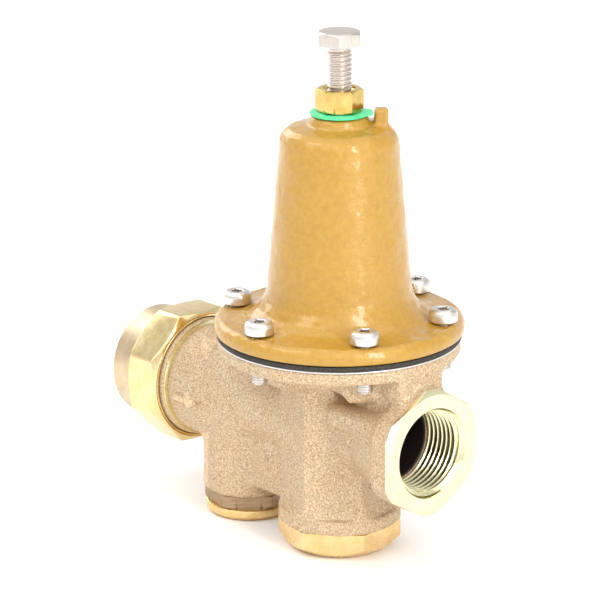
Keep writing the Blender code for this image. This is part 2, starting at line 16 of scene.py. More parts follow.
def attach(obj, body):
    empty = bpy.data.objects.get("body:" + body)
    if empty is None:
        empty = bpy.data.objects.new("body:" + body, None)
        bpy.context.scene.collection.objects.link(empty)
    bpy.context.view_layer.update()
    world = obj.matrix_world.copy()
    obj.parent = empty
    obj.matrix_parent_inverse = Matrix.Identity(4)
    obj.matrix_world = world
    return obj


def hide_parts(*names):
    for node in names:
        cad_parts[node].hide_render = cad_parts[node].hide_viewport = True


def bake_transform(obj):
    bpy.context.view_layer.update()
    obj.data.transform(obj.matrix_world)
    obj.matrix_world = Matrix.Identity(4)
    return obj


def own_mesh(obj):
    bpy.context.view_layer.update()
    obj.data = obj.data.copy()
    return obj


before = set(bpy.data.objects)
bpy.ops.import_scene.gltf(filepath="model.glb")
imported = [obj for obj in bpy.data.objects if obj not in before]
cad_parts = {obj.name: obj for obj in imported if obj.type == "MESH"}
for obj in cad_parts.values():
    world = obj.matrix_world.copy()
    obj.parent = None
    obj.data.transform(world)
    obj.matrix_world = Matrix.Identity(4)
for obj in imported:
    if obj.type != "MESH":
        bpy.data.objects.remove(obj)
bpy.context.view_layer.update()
M = 0.001
VOXEL = 0.5
ROUND = 128  # sides of a turned piece

PORT_Z = 39.0  # the flow axis
STRAINER_X = -41.5
JOINT_Z = 66.0  # top of the body's flange
SCREW_COUNT = 6
SCREW_CIRCLE_R = 32.5
SCREW_HOLE_R = 2.75
COLUMN_TURN = 10.0  # degrees from +X to one flat of the main column
PORT_FACE, PORT_BACK = 40.5, 39.1  # machined front of the outlet hexagon
PORT_HEXAGON_FLATS = 36.6
PORT_CORNER_R = 19.85  # the hexagon's corners are turned down to this
PIPE_PITCH = 1.814  # 14 threads per inch
ADJUSTER_PITCH = 1.411  # 18 threads per inch
UNION_PITCH = 2.0
LUG_ANGLE = radians(48.0)
BORE_SHADE_R = 12.1  # everything nearer than this to the flow axis is inside a passage, and the body's colour there is painted shade
ARROW_X, ARROW_DROP = -51.0, 1.6  # middle of the flow arrow, and how far it lies below the flow axis
ARROW_R = 18.9  # from the flow axis to the arrow's face

# ---------------------------------------------------------------- materials


class Nodes:
    """Builds one material's node tree with short calls."""

    def __init__(self, name):
        self.material = bpy.data.materials.new(name)
        self.material.use_nodes = True
        self.tree = self.material.node_tree
        self.shader = self.tree.nodes["Principled BSDF"]
        self.place = self.tree.nodes.new("ShaderNodeTexCoord").outputs["Object"]
        self.height = None

    def add(self, kind, inputs=None, **settings):
        node = self.tree.nodes.new(kind)
        for key, value in settings.items():
            setattr(node, key, value)
        for key, value in (inputs or {}).items():
            if isinstance(value, bpy.types.NodeSocket):
                self.tree.links.new(value, node.inputs[key])
            else:
                node.inputs[key].default_value = value
        return node

    def noise(self, size, detail=4.0, roughness=0.55, stretch=None):
        """Noise whose features are about size millimetres across."""
        vector = self.place
        if stretch:
            vector = self.add("ShaderNodeMapping", {"Vector": vector, "Scale": stretch}).outputs[0]
        return self.add("ShaderNodeTexNoise", {
            "Vector": vector,
            "Scale": 1000.0 / size,
            "Detail": detail,
            "Roughness": roughness,
        }).outputs["Fac"]

    def math(self, operation, a, b):
        return self.add("ShaderNodeMath", {0: a, 1: b}, operation=operation).outputs[0]

    def ramp(self, value, *stops):
        """Colour ramp from (position, colour) stops, where a colour may be one number."""
        node = self.add("ShaderNodeValToRGB", {"Fac": value})
        while len(node.color_ramp.elements) < len(stops):
            node.color_ramp.elements.new(0.5)
        for element, (position, colour) in zip(node.color_ramp.elements, stops):
            element.position = position
            colour = colour if isinstance(colour, tuple) else (colour, colour, colour)
            element.color = (*colour, 1.0)
        return node.outputs["Color"]

    def mix(self, factor, a, b, blend="MIX"):
        """Colour a turned into colour b by factor."""
        node = self.add("ShaderNodeMix", data_type="RGBA", blend_type=blend)
        for socket, value in ((node.inputs[0], factor), (node.inputs[6], a), (node.inputs[7], b)):
            if isinstance(value, bpy.types.NodeSocket):
                self.tree.links.new(value, socket)
            else:
                socket.default_value = (*value, 1.0) if isinstance(value, tuple) else value
        return node.outputs[2]

    def bump(self, value, depth, strength=1.0):
        """Adds relief of that depth in millimetres on top of the relief so far."""
        inputs = {"Height": value, "Distance": depth * M, "Strength": strength}
        if self.height is not None:
            inputs["Normal"] = self.height
        self.height = self.add("ShaderNodeBump", inputs).outputs["Normal"]

    def done(self, colour, rough, **values):
        """The finished material. values are the shader's other inputs, with _ for a space."""
        for key, value in (("Base Color", colour), ("Roughness", rough)):
            if isinstance(value, bpy.types.NodeSocket):
                self.tree.links.new(value, self.shader.inputs[key])
            else:
                self.shader.inputs[key].default_value = (*value, 1.0) if isinstance(value, tuple) else value
        if self.height is not None:
            self.tree.links.new(self.height, self.shader.inputs["Normal"])
        for key, value in values.items():
            self.shader.inputs[key.replace("_", " ")].default_value = value
        return self.material


def cast_bronze():
    """Blasted sand casting: light tan with fine grains, passages coloured near black as painted shade, and a
    paler raised arrow.
    """
    n = Nodes("cast_bronze")
    grain = n.noise(0.5, 3.0, 0.7)
    patches = n.noise(7.0, 3.0, 0.5)
    pit, skin, glint = (0.31, 0.212, 0.115), (0.540, 0.402, 0.250), (0.77, 0.615, 0.43)
    tone = n.ramp(grain, (0.32, pit), (0.50, skin), (0.66, glint))
    warm = n.ramp(patches, (0.35, (1.0, 0.95, 0.90)), (0.65, (1.0, 1.0, 1.0)))
    colour = n.mix(1.0, tone, warm, "MULTIPLY")
    from_flow_axis = n.add("ShaderNodeMapping", {"Vector": n.place, "Location": (0.0, 0.0, -PORT_Z * M),
                                                 "Scale": (0.0, 1.0, 1.0)}).outputs[0]
    off_axis = n.add("ShaderNodeVectorMath", {0: from_flow_axis}, operation="LENGTH").outputs["Value"]
    # painted shade: inside the passages round the flow axis the colour is near black, standing in for the
    # shade deep in the bores
    bore_shade = n.math("LESS_THAN", off_axis, BORE_SHADE_R * M)
    colour = n.mix(bore_shade, colour, (0.022, 0.015, 0.011))
    along = n.add("ShaderNodeSeparateXYZ", {0: n.place}).outputs["X"]
    raised = n.math("GREATER_THAN", off_axis, (ARROW_R - 0.5) * M)
    behind_tip = n.math("LESS_THAN", along, (ARROW_X + 5.6) * M)
    past_tail = n.math("GREATER_THAN", along, (ARROW_X - 6.0) * M)
    on_arrow = n.math("MULTIPLY", n.math("MULTIPLY", past_tail, behind_tip), raised)
    colour = n.mix(1.0, colour, n.mix(on_arrow, (1.0, 1.0, 1.0), (1.22, 1.22, 1.20)), "MULTIPLY")
    n.bump(n.noise(2.6, 2.0), 0.10, 0.45)
    n.bump(n.noise(0.5, 3.0, 0.65), 0.08, 0.8)
    rough = n.ramp(grain, (0.3, 0.62), (0.7, 0.46))
    return n.done(colour, rough, Metallic=0.3)


def painted_shade_bronze():
    """The strainer plug's hexagon: bronze coloured darker as painted shade, for the shade under the column's
    lip, with fine turning marks.
    """
    n = Nodes("painted_shade_bronze")
    lines = n.noise(0.35, 2.0, stretch=(0.05, 0.05, 1.0))
    colour = n.ramp(lines, (0.3, (0.30, 0.20, 0.11)), (0.7, (0.48, 0.34, 0.20)))
    n.bump(lines, 0.02, 0.5)
    return n.done(colour, 0.42, Metallic=0.6)


def brass(name, dark, light, rough, marks=(1.0, 1.0, 1.0), wear=0.5):
    """Machined brass with tool marks along one way, faint stains and small scratches."""
    n = Nodes(name)
    lines = n.noise(0.22, 3.0, 0.6, stretch=marks)
    cloud = n.noise(5.0, 4.0, 0.6)
    colour = n.mix(n.ramp(cloud, (0.40, 0.0), (0.70, 1.0)), dark, light)
    bright, dull = light, tuple(0.72 * c for c in dark)
    colour = n.mix(0.3 * wear, colour, n.ramp(lines, (0.34, dull), (0.60, bright)))
    n.bump(lines, 0.010, 0.5)
    n.bump(cloud, 0.04, 0.10)
    return n.done(colour, n.ramp(n.noise(1.6, 4.0), (0.3, rough * 0.8), (0.7, rough * 1.25)), Metallic=1.0)


def gold_paint():
    """Satin gold paint over a sand casting, with orange peel that breaks up the gloss."""
    n = Nodes("gold_paint")
    lumps = n.noise(1.7, 3.0, 0.55)
    peel = n.noise(0.75, 2.5, 0.5)
    patches = n.noise(16.0, 2.0)
    deep, plain, light = (0.440, 0.228, 0.018), (0.475, 0.258, 0.022), (0.51, 0.285, 0.034)
    colour = n.ramp(lumps, (0.28, deep), (0.52, plain), (0.75, light))
    shade = n.ramp(patches, (0.3, (0.97, 0.96, 0.95)), (0.7, (1.0, 1.0, 1.0)))
    colour = n.mix(1.0, colour, shade, "MULTIPLY")
    n.bump(lumps, 0.22, 0.8)
    n.bump(peel, 0.16, 1.0)
    rough = n.ramp(peel, (0.3, 0.38), (0.7, 0.50))
    return n.done(colour, rough, Metallic=0.1, Coat_Weight=0.7, Coat_Roughness=0.15)


def steel(name, tone, rough, marks=(1.0, 1.0, 1.0)):
    """Machined steel with fine marks along one way."""
    n = Nodes(name)
    lines = n.noise(0.25, 3.0, 0.6, stretch=marks)
    cloud = n.noise(4.0, 3.0)
    low, high = tuple(0.82 * c for c in tone), tone
    colour = n.mix(n.ramp(lines, (0.3, 0.0), (0.7, 1.0)), low, high)
    n.bump(lines, 0.012, 0.45)
    return n.done(colour, n.ramp(cloud, (0.3, rough * 0.8), (0.7, rough * 1.3)), Metallic=1.0)


def rubber():
    """Moulded rubber, nearly black and dull."""
    n = Nodes("black_rubber")
    grain = n.noise(0.5, 3.0)
    colour = n.ramp(grain, (0.35, (0.020, 0.018, 0.016)), (0.7, (0.065, 0.055, 0.046)))
    n.bump(grain, 0.03, 0.5)
    return n.done(colour, n.ramp(n.noise(3.0), (0.3, 0.55), (0.7, 0.75)), Specular_IOR_Level=0.35)


def green_plastic():
    """Moulded washer plastic that lets a little light in."""
    n = Nodes("green_plastic")
    cloud = n.noise(2.5, 3.0)
    colour = n.ramp(cloud, (0.3, (0.055, 0.64, 0.27)), (0.7, (0.11, 0.76, 0.36)))
    n.bump(n.noise(0.6, 2.0), 0.02, 0.4)
    rough = n.ramp(cloud, (0.3, 0.30), (0.7, 0.42))
    return n.done(colour, rough, Subsurface_Weight=0.15, Subsurface_Scale=0.002)


def fibre():
    """Pressed red fibre with its strands showing."""
    n = Nodes("red_fibre")
    strands = n.noise(0.4, 5.0, 0.75, stretch=(1.0, 0.4, 0.4))
    colour = n.ramp(strands, (0.3, (0.16, 0.035, 0.022)), (0.7, (0.34, 0.085, 0.055)))
    n.bump(strands, 0.05, 0.8)
    return n.done(colour, 0.8)


def stage_white():
    """The pale floor."""
    n = Nodes("stage_white")
    soft = n.noise(400.0, 1.0)
    return n.done(n.ramp(soft, (0.3, 0.95), (0.7, 0.96)), 0.6)


BRONZE = cast_bronze()
BRONZE_PAINTED_SHADE = painted_shade_bronze()
BRASS_PORT = brass("port_brass", (0.86, 0.80, 0.50), (0.93, 0.88, 0.60), 0.22, (1.0, 0.03, 0.03), 0.4)
BRASS_NUT = brass("union_brass", (0.84, 0.64, 0.31), (0.94, 0.77, 0.45), 0.17, (1.0, 0.05, 0.05), 0.5)
BRASS_LOCK = brass("locknut_brass", (0.60, 0.41, 0.11), (0.79, 0.59, 0.22), 0.16, (0.05, 0.05, 1.0), 0.5)
BRASS_PLUG = brass("plug_brass", (0.84, 0.58, 0.25), (0.93, 0.70, 0.37), 0.26, (0.04, 0.04, 1.0), 0.6)
BRASS_TAIL = brass("tailpiece_bronze", (0.60, 0.46, 0.29), (0.75, 0.60, 0.39), 0.34, (1.0, 0.05, 0.05), 0.7)
BRASS_INNER = brass("inner_brass", (0.62, 0.44, 0.18), (0.84, 0.64, 0.30), 0.30, (0.05, 0.05, 1.0), 0.7)
PAINT = gold_paint()
STAINLESS = steel("stainless_steel", (0.73, 0.66, 0.60), 0.30, (1.0, 1.0, 0.06))
STAINLESS_TURNED = steel("turned_stainless", (0.80, 0.77, 0.73), 0.30, (0.05, 0.05, 1.0))
WIRE = steel("spring_steel", (0.24, 0.25, 0.27), 0.30)
RUBBER = rubber()
GREEN = green_plastic()
FIBRE = fibre()

# ---------------------------------------------------------------- pieces from points


def piece(name, points, faces, finish, body, nodes=(), sharp=32.0):
    """A new piece from millimetre points that rides on a body and stands for CAD nodes."""
    mesh = bpy.data.meshes.new(name)
    mesh.from_pydata([tuple(c * M for c in p) for p in points], [], faces)
    shape = bmesh.new()
    shape.from_mesh(mesh)
    bmesh.ops.remove_doubles(shape, verts=shape.verts, dist=0.002 * M)
    bmesh.ops.dissolve_degenerate(shape, edges=shape.edges, dist=0.001 * M)
    bmesh.ops.recalc_face_normals(shape, faces=shape.faces)
    shape.to_mesh(mesh)
    shape.free()
    return finish_piece(name, mesh, finish, body, nodes, sharp)


def finish_piece(name, mesh, finish, body, nodes=(), sharp=32.0):
    """Shades a mesh, gives it its material and ties it to the frame. A piece given no body stays loose."""
    mesh.polygons.foreach_set("use_smooth", [True] * len(mesh.polygons))
    mesh.set_sharp_from_angle(angle=radians(sharp))
    mesh.materials.append(finish)
    item = bpy.data.objects.new(name, mesh)
    bpy.context.scene.collection.objects.link(item)
    if body:
        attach(item, body)
    if nodes:
        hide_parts(*nodes)
    return item


def eased(profile, radius=0.25, closed=True, steps=3):
    """The profile with each of its corners rounded. Points on the axis stay as they are."""
    out = []
    count = len(profile)
    for i, here in enumerate(profile):
        if here[0] == 0 or (not closed and i in (0, count - 1)):
            out.append(here)
            continue
        p, a, b = Vector(here), Vector(profile[i - 1]), Vector(profile[(i + 1) % count])
        to_a, to_b = a - p, b - p
        reach = 0.0
        if to_a.length > 1e-5 and to_b.length > 1e-5:
            half = max(to_a.angle(to_b) / 2, 0.05)
            reach = min(radius / tan(half), to_a.length * 0.45, to_b.length * 0.45) if half < 1.55 else 0.0
        start = p + to_a.normalized() * reach if reach else p
        end = p + to_b.normalized() * reach if reach else p
        for k in range(steps + 1):
            t = k / steps
            out.append(tuple(start * (1 - t) ** 2 + p * 2 * t * (1 - t) + end * t * t))
    return out


def spin(column_of, steps=ROUND, along_x=False, centre=(0.0, 0.0), closed=True):
    """Points and faces of a surface that has one (radius, height) column at each angle."""
    points, faces = [], []
    for i in range(steps + 1):
        angle = 2 * pi * i / steps
        column = column_of(angle)
        for r, h in column:
            if along_x:
                points.append((h, r * cos(angle), PORT_Z + r * sin(angle)))
            else:
                points.append((centre[0] + r * cos(angle), centre[1] + r * sin(angle), h))
    size = len(column)
    for i in range(steps):
        for k in range(size if closed else size - 1):
            a, b = i * size + k, i * size + (k + 1) % size
            faces.append((a, b, b + size, a + size))
    return points, faces


def turned(name, profile, finish, body, nodes=(), ease=0.25, steps=ROUND, along_x=False, centre=(0, 0)):
    """A turned piece with eased corners."""
    closed = not (profile[0][0] == 0 and profile[-1][0] == 0)
    column = eased(profile, ease, closed)
    points, faces = spin(lambda angle: column, steps, along_x, centre, closed)
    return piece(name, points, faces, finish, body, nodes)


WAVE = ((0.00, 0.0), (0.13, 0.0), (0.47, 1.0), (0.63, 1.0), (0.97, 0.0), (1.00, 0.0))  # height over one pitch


def thread_column(angle, root, crest, pitch, high, low, fade=0.7):
    """One column, from high to low, of a right-hand thread that fades out over fade pitches at its ends."""
    turn = angle / (2 * pi)
    places, levels = zip(*WAVE)
    first, last = int(low / pitch) - 3, int(high / pitch) + 3
    column = []
    for n in range(last, first - 1, -1):
        for place in reversed(places[:-1]):
            z = min(max((n + place + turn) * pitch, low), high)
            phase = (z / pitch - turn) % 1.0
            level = float(np.interp(phase, places, levels))
            edge = min(high - z, z - low) / (fade * pitch)
            level *= min(max(edge, 0.0), 1.0)
            column.append((root + (crest - root) * level, z))
    return column


CRISP = 110  # power that joins the flats of a nut, with corners as sharp as it is high


def nut_column(angle, sides, flats, turn, top, bottom, top_r, bottom_r, slope, corner_r=99.0):
    """Outer side of a nut or bolt head at one angle, with both ends turned to a cone."""
    faces_at = [turn + (k + 0.5) * 2 * pi / sides for k in range(sides)]
    near = sum(max(cos(angle - f), 0.0) ** CRISP for f in faces_at) ** (1.0 / CRISP)
    edge = min(flats / 2 / near, corner_r)
    return [(min(edge, top_r), top), (edge, top - max(edge - top_r, 0.0) * slope),
            (edge, bottom + max(edge - bottom_r, 0.0) * slope), (min(edge, bottom_r), bottom)]


def nut(name, sides, flats, turn, top, bottom, top_r, bottom_r, finish, body, nodes=(), *, inner,
        slope=0.577, ease=0.3, along_x=False, corner_r=99.0):
    """A hexagonal or octagonal piece. inner gives the rest of its column, from the bottom inwards and up."""
    turn = radians(turn)

    def column(angle):
        outer = nut_column(angle + turn, sides, flats, turn, top, bottom, top_r, bottom_r, slope, corner_r)
        rest = inner(angle + turn)
        ring = eased([rest[-1], *outer, rest[0]], ease, closed=False)
        return ring[1:-1] + rest

    points, faces = spin(column, sides * 24, along_x)
    if turn:
        swing = Matrix.Rotation(turn, 3, "X" if along_x else "Z")
        pivot = Vector((0, 0, PORT_Z)) if along_x else Vector((0, 0, 0))
        points = [tuple(swing @ (Vector(p) - pivot) + pivot) for p in points]
    return piece(name, points, faces, finish, body, nodes)


# ---------------------------------------------------------------- castings from distance fields


class Field:
    """Signed distances, in millimetres, on a grid: negative inside the metal."""

    def __init__(self, low, high, step):
        self.low, self.step = np.array(low, float), step
        axes = [np.arange(a, b + step, step, dtype=np.float32) for a, b in zip(low, high)]
        self.x, self.y, self.z = np.meshgrid(*axes, indexing="ij", sparse=True)
        self.shape = tuple(len(a) for a in axes)

    def rod_z(self, x, y, r, low, high, ease=0.0):
        """An upright rod. ease rounds its ends."""
        out = np.sqrt((self.x - x) ** 2 + (self.y - y) ** 2) - r
        return self.capped(out, self.z, low, high, ease)

    def rod_x(self, r, low, high, y=0.0, z=PORT_Z, ease=0.0):
        """A rod along the flow, on the flow axis unless y and z say otherwise."""
        out = np.sqrt((self.y - y) ** 2 + (self.z - z) ** 2) - r
        return self.capped(out, self.x, low, high, ease)

    def capped(self, side, along, low, high, ease):
        """The distance to a long side, cut off between low and high."""
        ends = np.maximum(low - along, along - high)
        a, b = side + ease, ends + ease
        inside = np.minimum(np.maximum(a, b), 0.0)
        return inside + np.sqrt(np.maximum(a, 0) ** 2 + np.maximum(b, 0) ** 2) - ease

    def prism(self, sides, half_flat, turn, low, high, flare, along_x=False):
        """A regular prism with one flat facing turn degrees. flare is added to its size, cell by cell."""
        u, v, along = (self.y, self.z - PORT_Z, self.x) if along_x else (self.x, self.y, self.z)
        side = np.full(self.shape, -1e3, np.float32)
        for k in range(sides):
            face = radians(turn) + 2 * pi * k / sides
            side = np.maximum(side, u * cos(face) + v * sin(face) - half_flat)
        return self.capped(side - flare, along, low, high, 0.0)

    def revolved(self, profile):
        """Distance to a turned solid, read off a finer table of its half section."""
        fine = 0.25
        r = np.sqrt(self.x ** 2 + self.y ** 2)
        heights = self.z.ravel()
        rs = np.arange(0, float(r.max()) + 2 * fine, fine)
        zs = np.arange(heights[0], heights[-1] + 2 * fine, fine)
        table = polygon_distance(rs[:, None], zs[None, :], profile).astype(np.float32)
        u = r / fine
        v = (self.z - heights[0]) / fine
        i, j = u.astype(int), v.astype(int)
        fu, fv = u - i, v - j
        i, j = np.broadcast_arrays(i, j)
        return (table[i, j] * (1 - fu) * (1 - fv) + table[i + 1, j] * fu * (1 - fv)
                + table[i, j + 1] * (1 - fu) * fv + table[i + 1, j + 1] * fu * fv)

    def box(self, low, high, ease, turn=0.0):
        """A box with edges rounded by ease, turned about the Z axis."""
        c, s = cos(turn), sin(turn)
        x, y = self.x * c + self.y * s, -self.x * s + self.y * c
        gaps = [np.maximum(a - p, p - b) + ease for p, a, b in zip((x, y, self.z), low, high)]
        inside = np.minimum(np.maximum(np.maximum(gaps[0], gaps[1]), gaps[2]), 0.0)
        return inside + np.sqrt(sum(np.maximum(g, 0) ** 2 for g in gaps)) - ease

    def mesh(self, name, distance):
        """A closed mesh, in metres, of the surface where the distance is zero."""
        far = 4.0
        grid = openvdb.FloatGrid(far)
        grid.copyFromArray(np.ascontiguousarray(np.clip(distance, -far, far)))
        points, triangles, quads = grid.convertToPolygons(isovalue=0.0, adaptivity=0.0)
        points = (points * self.step + self.low) * M
        faces = [tuple(int(i) for i in q) for q in quads] + [tuple(int(i) for i in t) for t in triangles]
        mesh = bpy.data.meshes.new(name)
        mesh.from_pydata(points.tolist(), [], faces)
        shape = bmesh.new()
        shape.from_mesh(mesh)
        bmesh.ops.recalc_face_normals(shape, faces=shape.faces)
        shape.to_mesh(mesh)
        shape.free()
        return mesh


def polygon_distance(px, py, polygon):
    """Signed distance from points to a closed polygon, negative inside."""
    best = np.full(np.broadcast(px, py).shape, 1e9)
    inside = np.zeros(best.shape, bool)
    for (ax, ay), (bx, by) in zip(polygon, polygon[1:] + polygon[:1]):
        ex, ey = bx - ax, by - ay
        length = ex * ex + ey * ey
        if length < 1e-12:
            continue
        t = np.clip(((px - ax) * ex + (py - ay) * ey) / length, 0, 1)
        best = np.minimum(best, (px - ax - t * ex) ** 2 + (py - ay - t * ey) ** 2)
        if abs(ey) > 1e-12:
            crosses = ((ay > py) != (by > py)) & (px < ex * (py - ay) / ey + ax)
            inside ^= crosses
    return np.where(inside, -1.0, 1.0) * np.sqrt(best)


def blended(a, b, reach):
    """Union of two fields with a fillet about reach across."""
    h = np.maximum(reach - np.abs(a - b), 0.0) / reach
    return np.minimum(a, b) - h * h * reach * 0.25


def mixed(a, b, share):
    """Field a turned into field b by share."""
    return b * share + a * (1.0 - share)


def screw_places():
    """Centres of the six flange screws."""
    for k in range(SCREW_COUNT):
        a = radians(30 + 60 * k)
        yield SCREW_CIRCLE_R * cos(a), SCREW_CIRCLE_R * sin(a)


def lumps(field, size, seed):
    """Smooth random heights between -1 and 1 on the field's grid, in lumps about that size."""
    rng = np.random.default_rng(seed)
    shape = [int(n * field.step / size) + 3 for n in field.shape]
    lattice = rng.uniform(-1, 1, shape).astype(np.float32)
    for axis, n in enumerate(field.shape):
        at = np.arange(n) * field.step / size
        i = at.astype(int)
        f = at - i
        f = (f * f * (3 - 2 * f)).astype(np.float32)
        f = f.reshape([-1 if a == axis else 1 for a in range(3)])
        lattice = np.take(lattice, i, axis) * (1 - f) + np.take(lattice, i + 1, axis) * f
    return lattice


def towards_outlet(f, start, reach):
    """0 where a direction from the main axis is far from the outlet's, and 1 near it."""
    facing = f.x / np.maximum(np.sqrt(f.x ** 2 + f.y ** 2), 1.0)
    return np.clip((facing - start) / reach, 0.0, 1.0)


def hub_shape(f):
    """Flange and hub: a sloping underside, an undercut beside the outlet and a step over the neck."""
    rim = [(0, 66.6), (36.7, 66.6), (36.7, 62.6), (36.0, 62.0)]
    skirt = [(30.0, 61.8), (28.0, 60.6)]
    sloping = [*rim, *skirt, (27.2, 57.6), (24.2, 55.0), (20.2, 53.2), (14.0, 51.2), (0, 51.2)]
    stepped = [*rim, *skirt, (27.6, 54.6), (26.8, 53.6), (20.0, 53.9), (14.0, 52.6), (0, 52.6)]
    undercut = [*rim, (23.6, 61.2), (21.6, 59.4), (20.4, 55.6), (14.0, 53.6), (0, 53.6)]
    sloping, stepped, undercut = (f.revolved(eased(profile, ease)) for profile, ease in (
        (sloping, 0.8), (stepped, 0.7), (undercut, 0.7)))
    hub = mixed(sloping, undercut, towards_outlet(f, 0.10, 0.16))
    return mixed(hub, stepped, towards_outlet(f, 0.66, 0.14))


def column_shape(f):
    """The hexagonal main column with its rounded corners, flared foot and waist under the hub."""
    flats, corners, waist_z = 15.6, 18.3, 54.6
    flare = 1.6 * np.clip(1.0 - (f.z - 13.0) / 7.0, 0.0, 1.0) ** 2
    waist = np.clip(1.35 - np.abs(f.z - waist_z) / 4.4, 0.0, 1.0) * towards_outlet(f, 0.66, 0.14)
    prism = f.prism(6, flats, COLUMN_TURN, 8.9, 56.0, flare)
    return np.maximum(prism, f.rod_z(0, 0, corners, 0, 60)) + 3.4 * waist


def outlet_shapes(f):
    """The neck, which widens towards the outlet, and the hexagon it ends in."""
    widening = 3.9 * np.clip((f.x - 19.0) / 12.0, 0.0, 1.0)
    neck = f.rod_x(13.2, -1.0, 35.0) - widening
    neck = blended(neck, f.box((4.0, -14.8, 42.5), (35.0, 14.8, 50.5), 3.0), 1.5)
    hexagon = f.prism(6, 18.1, 0.0, 33.0, 39.5, 0.0, along_x=True)
    hexagon = np.maximum(hexagon, f.rod_x(19.75, 20, 45))
    return neck, hexagon


def body_holes(f):
    """Bores of the stem and plugs, both ports, diaphragm and strainer chambers and screw holes."""
    seat_low, seat_high = 29.6, 33.6
    inside, across = STRAINER_X + 7.5, 4.9
    main = [
        f.rod_z(0, 0, 11.5, seat_high, 54.0), f.rod_z(0, 0, 8.8, seat_low - 1, seat_high + 1),
        f.rod_z(0, 0, 11.5, 17.0, seat_low), f.rod_z(0, 0, 13.0, 9.0, 17.0), f.rod_z(0, 0, 15.0, 3.0, 10.5)]
    chamber = [
        f.rod_z(0, 0, 25.0, 63.4, 70.0), f.rod_z(0, 0, 19.3, 58.0, 64.0), f.rod_z(0, 0, 3.05, 50.0, 62.0),
        f.rod_z(9.0, 0, 1.6, 50.0, 62.0)]
    outlet = [f.rod_x(9.0, 2.0, 45.0), f.rod_x(11.6, 17.5, 45.0), f.rod_x(13.5, 25.3, 45.0)]
    inlet = [
        f.rod_x(10.0, -75.0, STRAINER_X), f.rod_z(STRAINER_X, 0, 9.0, 29.0, 49.5, 2.0),
        f.rod_z(STRAINER_X, 0, 10.2, 9.5, 28.8), f.rod_z(STRAINER_X, 0, 12.0, 2.0, 9.5),
        f.rod_x(3.1, inside, -8.5, across, 27.6), f.rod_x(3.1, inside, -8.5, -across, 27.6)]
    screws = [f.rod_z(x, y, SCREW_HOLE_R, 50, 70) for x, y in screw_places()]
    return main + chamber + outlet + inlet + screws


def body_casting():
    """The bronze body: column, strainer chamber, inlet barrel, outlet neck, flange and their fillets."""
    f = Field((-71.0, -38.5, 5.5), (40.5, 38.5, 68.0), VOXEL)
    barrel = blended(f.rod_x(17.6, -61.2, -46.0, ease=2.5), f.rod_x(13.6, -50.0, -3.0), 4.0)
    strainer = f.rod_z(STRAINER_X, 0, 14.4, 7.9, 55.2, 1.3)
    between = f.box((STRAINER_X, -9.6, 12.0), (-8.0, 9.6, 45.0), 1.5)
    gusset = f.box((-44.0, -7.0, 45.0), (-12.0, 7.0, 63.0), 3.0)
    web = f.box((16.0, -9.2, 50.8), (36.2, 9.2, 62.6), 2.0)
    collar = f.rod_z(0, 0, 18.75, 8.5, 13.0, 0.35)
    lip = f.rod_x(18.9, -69.0, -61.0, ease=0.4)
    neck, hexagon = outlet_shapes(f)
    shape = column_shape(f)
    for part, fillet in ((barrel, 2.5), (strainer, 2.5), (between, 2.0), (gusset, 4.0), (neck, 1.8),
                         (hub_shape(f), 0.8), (web, 1.8), (collar, 0.5), (hexagon, 2.5), (lip, 1.2)):
        shape = blended(shape, part, fillet)
    rough_cast = np.clip((f.x + 60.5) * 0.8, 0, 1) * np.clip((38.8 - f.x) * 1.2, 0, 1)
    shape = shape + rough_cast * (0.14 * lumps(f, 5.0, 3) + 0.09 * lumps(f, 1.7, 4))
    shape = blended(shape, arrow_height(f), 0.25)
    for hole in body_holes(f):
        shape = np.maximum(shape, -hole)
    shape = np.maximum(np.maximum(shape, f.z - JOINT_Z), f.x - PORT_BACK)
    mesh = f.mesh("body_casting", shape)
    finish_piece("body_casting", mesh, BRONZE, "body", ["valve_body"], 180)


def arrow_height(f):
    """The raised flow arrow on the near side of the barrel."""
    tail, barb, shaft, head = -5.6, 0.2, 1.0, 3.1
    below = [(tail, -shaft), (barb, -shaft), (barb, -head)]
    outline = [*below, (5.4, 0.0), *((x, -z) for x, z in reversed(below))]
    flat = polygon_distance(f.x - ARROW_X, f.z - PORT_Z + ARROW_DROP, outline)
    depth = np.maximum(np.sqrt(f.y ** 2 + (f.z - PORT_Z) ** 2) - ARROW_R, f.y + 10.0)
    return np.maximum(flat, depth).astype(np.float32)


def outlet_end():
    """Machined front of the outlet hexagon with its pipe thread."""
    start = 25.4

    def inner(angle):
        thread = thread_column(angle, 13.3, 12.2, PIPE_PITCH, PORT_FACE - 1.0, start, 0.5)
        return [(13.45, PORT_BACK), (13.45, start), *reversed(thread), (13.9, PORT_FACE)]

    nut("outlet_hexagon", 6, PORT_HEXAGON_FLATS, 30.0, PORT_FACE, PORT_BACK, 18.0, 99.0, BRASS_PORT, "body",
        inner=inner, along_x=True, slope=0.5, corner_r=PORT_CORNER_R)


